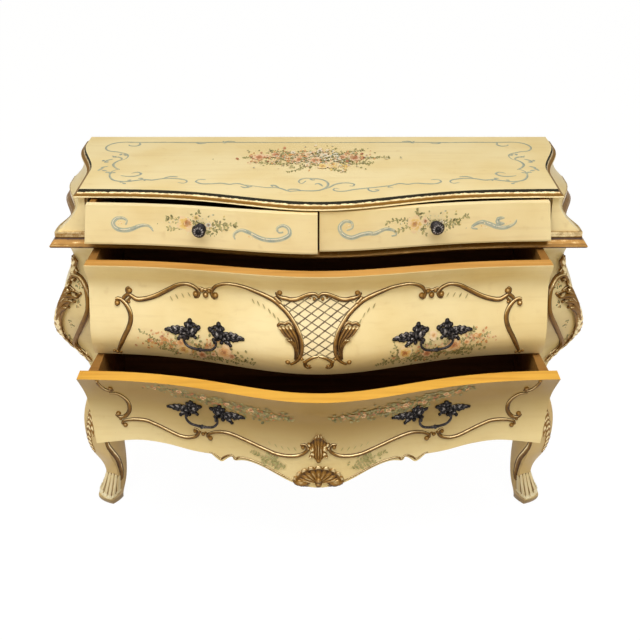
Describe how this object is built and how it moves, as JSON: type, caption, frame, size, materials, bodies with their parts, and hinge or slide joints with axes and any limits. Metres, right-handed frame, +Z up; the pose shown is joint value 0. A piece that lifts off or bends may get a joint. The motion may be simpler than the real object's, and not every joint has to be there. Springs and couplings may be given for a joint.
{
  "type": "bombe chest of drawers",
  "caption": "Painted bombe chest with serpentine drawer fronts, gilt carved scrolls, a shell apron, swinging drop pulls and cabriole legs.",
  "frame": {"origin": "floor, at the middle of the footprint with the drawers standing open as at rest", "axes": "+Z up, +X to the right seen from the front, -Y out of the drawer fronts"},
  "size_m": [1.3168, 0.6984, 0.85],
  "materials": {
    "painted_wood": "aged cream paint, satin",
    "gilt_wood": "aged gilding, satin",
    "bare_wood": "bare softwood, amber",
    "antique_metal": "dark antique patina"
  },
  "bodies": {
    "carcass": {"top_board": "painted_wood", "frieze_end_left": "painted_wood", "frieze_end_right": "painted_wood", "frieze_bead_left": "gilt_wood", "frieze_bead_right": "gilt_wood", "waist_moulding": "gilt_wood", "waist_board": "bare_wood", "frieze_divider": "bare_wood", "middle_board": "bare_wood", "bottom_board": "bare_wood", "bombe_side_left": "painted_wood", "bombe_side_right": "painted_wood", "corner_stile_left": "painted_wood", "corner_stile_right": "painted_wood", "stile_carving_left": "gilt_wood", "stile_carving_right": "gilt_wood", "front_leg_left": "painted_wood", "front_leg_right": "painted_wood", "back_leg_left": "painted_wood", "back_leg_right": "painted_wood", "back_panel": "bare_wood", "drawer_guides": "bare_wood"},
    "left_drawer": {"left_drawer_front": "painted_wood", "left_drawer_sides": "bare_wood", "left_drawer_back": "bare_wood", "left_drawer_bottom": "bare_wood", "left_drawer_knob": "antique_metal"},
    "right_drawer": {"right_drawer_front": "painted_wood", "right_drawer_sides": "bare_wood", "right_drawer_back": "bare_wood", "right_drawer_bottom": "bare_wood", "right_drawer_knob": "antique_metal"},
    "middle_drawer": {"middle_drawer_front": "painted_wood", "middle_drawer_sides": "bare_wood", "middle_drawer_back": "bare_wood", "middle_drawer_bottom": "bare_wood", "middle_drawer_scrolls": "gilt_wood", "middle_drawer_cartouche": "gilt_wood", "middle_left_rosettes": "antique_metal", "middle_right_rosettes": "antique_metal"},
    "middle_left_bail": {"middle_left_bail": "antique_metal"},
    "middle_right_bail": {"middle_right_bail": "antique_metal"},
    "bottom_drawer": {"bottom_drawer_front": "painted_wood", "bottom_drawer_sides": "bare_wood", "bottom_drawer_back": "bare_wood", "bottom_drawer_bottom": "bare_wood", "bottom_drawer_scrolls": "gilt_wood", "bottom_drawer_shells": "gilt_wood", "bottom_left_rosettes": "antique_metal", "bottom_right_rosettes": "antique_metal"},
    "bottom_left_bail": {"bottom_left_bail": "antique_metal"},
    "bottom_right_bail": {"bottom_right_bail": "antique_metal"}
  },
  "joints": [
    {"name": "left_drawer_slide", "type": "slide", "parent": "carcass", "child": "left_drawer", "axis": [0, -1, 0], "range_m": [-0.043, 0.197]},
    {"name": "right_drawer_slide", "type": "slide", "parent": "carcass", "child": "right_drawer", "axis": [0, -1, 0], "range_m": [-0.027, 0.213]},
    {"name": "middle_drawer_slide", "type": "slide", "parent": "carcass", "child": "middle_drawer", "axis": [0, -1, 0], "range_m": [-0.118, 0.128]},
    {"name": "bottom_drawer_slide", "type": "slide", "parent": "carcass", "child": "bottom_drawer", "axis": [0, -1, 0], "range_m": [-0.236, 0.01]},
    {"name": "middle_left_bail_swing", "type": "hinge", "parent": "middle_drawer", "child": "middle_left_bail", "pos_m": [-0.25681, -0.21156, 0.56305], "axis": [-0.9589, 0.2837, 0], "range_deg": [0, 80]},
    {"name": "middle_right_bail_swing", "type": "hinge", "parent": "middle_drawer", "child": "middle_right_bail", "pos_m": [0.25681, -0.21156, 0.56305], "axis": [-0.9589, -0.2837, 0], "range_deg": [0, 80]},
    {"name": "bottom_left_bail_swing", "type": "hinge", "parent": "bottom_drawer", "child": "bottom_left_bail", "pos_m": [-0.25686, -0.25475, 0.39449], "axis": [-0.958, 0.2867, 0], "range_deg": [0, 80]},
    {"name": "bottom_right_bail_swing", "type": "hinge", "parent": "bottom_drawer", "child": "bottom_right_bail", "pos_m": [0.25686, -0.25475, 0.39449], "axis": [-0.958, -0.2867, 0], "range_deg": [0, 80]}
  ]
}
